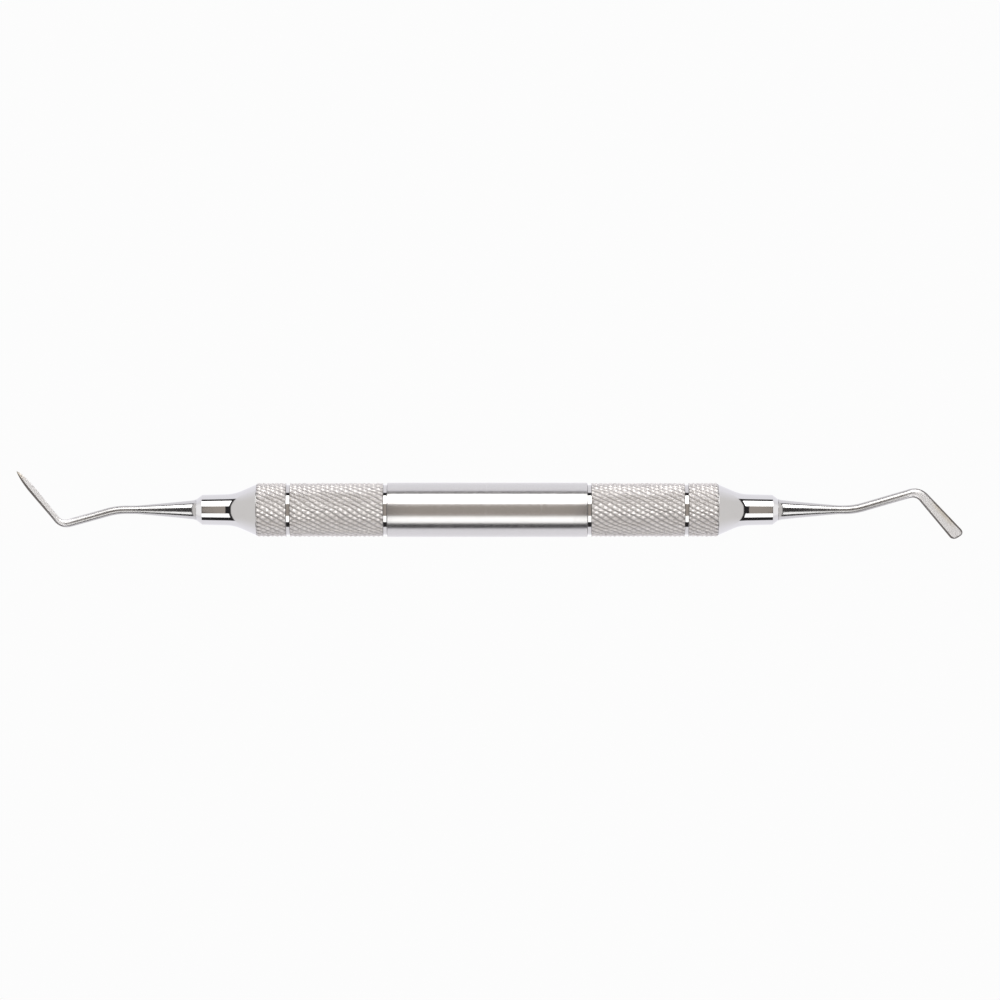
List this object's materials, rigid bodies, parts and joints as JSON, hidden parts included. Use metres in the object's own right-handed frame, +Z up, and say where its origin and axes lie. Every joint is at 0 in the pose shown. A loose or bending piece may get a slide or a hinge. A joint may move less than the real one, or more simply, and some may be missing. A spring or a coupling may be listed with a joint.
{
  "type": "dental carver",
  "caption": "Double-ended steel dental carver with a round knurled handle, a bent pointed blade at one end and a bent rounded blade at the other.",
  "frame": {"origin": "middle of the lowest side of the handle's bare centre, on the plane that the carver lies on, halfway along the tube", "axes": "+X along the handle towards the pointed blade, +Z up, away from what it lies on, -Y the side on which the pointed blade comes down to what it lies on"},
  "size_m": [0.1659, 0.0098, 0.0095],
  "materials": {
    "knurled_steel": "satin stainless steel, knurled, with bright crests",
    "nose_steel": "polished stainless steel, turned",
    "tip_steel": "polished stainless steel, forged and ground"
  },
  "bodies": {
    "root": {"knurled_handle": "knurled_steel", "pointed_end_nose": "nose_steel", "rounded_end_nose": "nose_steel", "pointed_blade_tip": "tip_steel", "rounded_blade_tip": "tip_steel"}
  },
  "joints": []
}
